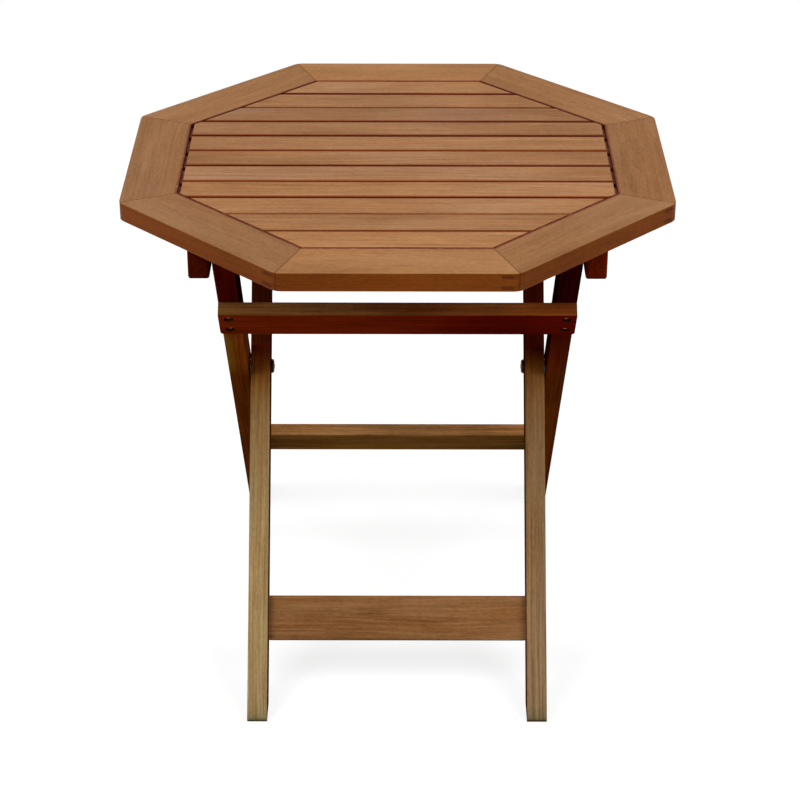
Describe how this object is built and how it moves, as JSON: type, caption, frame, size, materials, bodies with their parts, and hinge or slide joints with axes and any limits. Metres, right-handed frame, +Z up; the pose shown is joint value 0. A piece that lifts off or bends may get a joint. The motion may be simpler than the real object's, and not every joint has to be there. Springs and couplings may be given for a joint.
{
  "type": "folding garden table",
  "caption": "Octagonal slatted wooden garden table on crossed folding legs, with finger-jointed rim boards and a support bar held in catches.",
  "frame": {"origin": "on the ground, under the middle of the octagonal top, with the table open", "axes": "+Z up; +X along the slats, to the right of someone who faces the upper rail; +Y from the upper rail's side to the back"},
  "size_m": [0.7, 0.7, 0.7],
  "materials": {
    "top_wood": "oiled hardwood, warm orange-brown, satin",
    "slat_wood": "oiled hardwood, a little lighter than the rim, satin",
    "leg_wood": "oiled hardwood, olive brown, matt",
    "rail_wood": "oiled hardwood, dark red-brown, satin",
    "brass": "dull brass plating",
    "dark_metal": "black, satin",
    "steel": "plain zinc plating"
  },
  "bodies": {
    "outer_legs": {"outer_leg_left": "leg_wood", "outer_leg_right": "leg_wood", "upper_rail": "rail_wood", "back_rail": "rail_wood", "upper_rail_screw_left_upper": "steel", "upper_rail_screw_left_lower": "steel", "upper_rail_screw_right_upper": "steel", "upper_rail_screw_right_lower": "steel", "back_rail_screw_left_upper": "steel", "back_rail_screw_left_lower": "steel", "back_rail_screw_right_upper": "steel", "back_rail_screw_right_lower": "steel", "leg_pivot_bolt_left": "brass", "leg_pivot_bolt_right": "brass", "leg_pivot_washer_left": "steel", "leg_pivot_washer_right": "steel", "leg_pivot_cap_left": "dark_metal", "leg_pivot_cap_right": "dark_metal"},
    "inner_legs": {"inner_leg_left": "leg_wood", "inner_leg_right": "leg_wood", "foot_rail": "rail_wood", "support_bar": "leg_wood"},
    "tabletop": {"rim_front": "top_wood", "rim_front_right": "top_wood", "rim_right": "top_wood", "rim_back_right": "top_wood", "rim_back": "top_wood", "rim_back_left": "top_wood", "rim_left": "top_wood", "rim_front_left": "top_wood", "slat_01": "slat_wood", "slat_02": "slat_wood", "slat_03": "slat_wood", "slat_04": "slat_wood", "slat_05": "slat_wood", "slat_06": "slat_wood", "slat_07": "slat_wood", "slat_08": "slat_wood", "slat_09": "slat_wood", "slat_10": "slat_wood", "slat_11": "slat_wood", "batten_left": "top_wood", "batten_right": "top_wood", "bar_catch_left": "top_wood", "bar_catch_right": "top_wood", "batten_screw_left_front": "steel", "batten_screw_left_middle": "steel", "batten_screw_left_back": "steel", "batten_screw_right_front": "steel", "batten_screw_right_middle": "steel", "batten_screw_right_back": "steel", "catch_screw_left": "steel", "catch_screw_right": "steel", "top_pivot_bolt_left": "brass", "top_pivot_bolt_right": "brass", "top_pivot_washer_left": "steel", "top_pivot_washer_right": "steel", "top_pivot_cap_left": "dark_metal", "top_pivot_cap_right": "dark_metal"}
  },
  "joints": [
    {"name": "top_pivot", "type": "hinge", "parent": "outer_legs", "child": "tabletop", "pos_m": [0, -0.1942, 0.65355], "axis": [1, 0, 0], "range_deg": [0, 74.5]},
    {"name": "leg_pivot", "type": "hinge", "parent": "outer_legs", "child": "inner_legs", "pos_m": [0, 0.018, 0.382], "axis": [1, 0, 0], "range_deg": [0, 74.5]}
  ],
  "couplings": [
    {"joint": "leg_pivot", "follows": "top_pivot", "ratio": 1}
  ]
}
